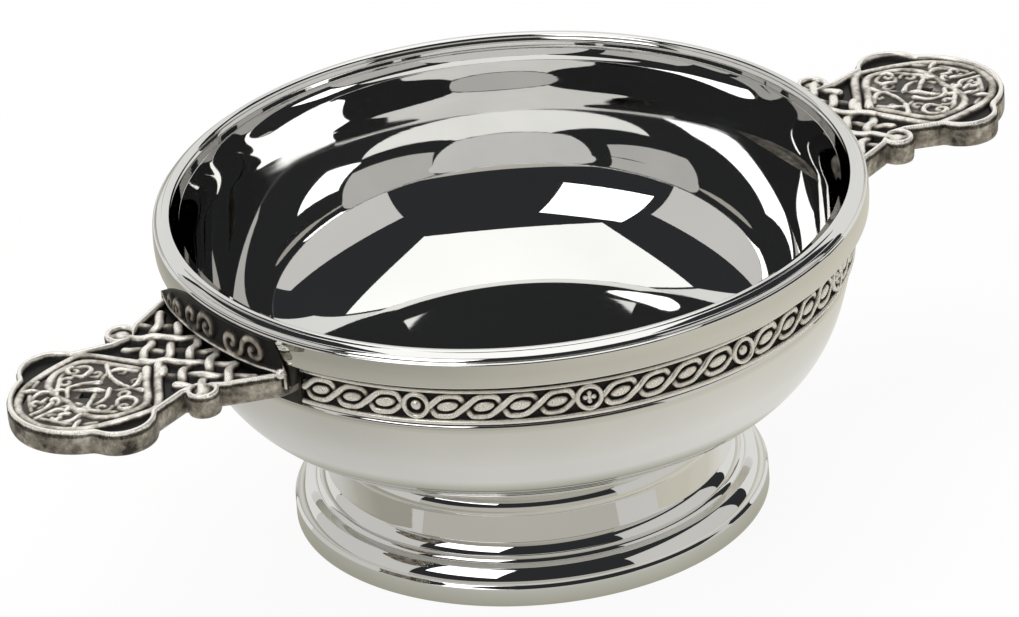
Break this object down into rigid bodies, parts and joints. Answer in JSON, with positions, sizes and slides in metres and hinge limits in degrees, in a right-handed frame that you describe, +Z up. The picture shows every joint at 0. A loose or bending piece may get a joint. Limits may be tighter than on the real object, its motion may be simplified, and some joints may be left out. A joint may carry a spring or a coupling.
{
  "type": "quaich",
  "caption": "Shallow two-lugged drinking bowl on a hollow pedestal foot, with a rounded rim wire, an interlace band round the wall and flat carved lugs.",
  "frame": {"origin": "centre of the foot's base, on the table", "axes": "+Z up along the bowl's axis, +X along the two lugs"},
  "size_m": [0.1848, 0.114, 0.055],
  "materials": {
    "polished_pewter": "mirror-polished pewter with fine spinning and wiping lines",
    "antique_pewter": "cast pewter, bright on the ridges, dark oxidised in the recesses"
  },
  "bodies": {
    "root": {"bowl": "polished_pewter", "rim_wire": "polished_pewter", "knot_band_front": "antique_pewter", "knot_band_back": "antique_pewter", "foot": "polished_pewter", "lug_left": "antique_pewter", "lug_right": "antique_pewter"}
  },
  "joints": []
}
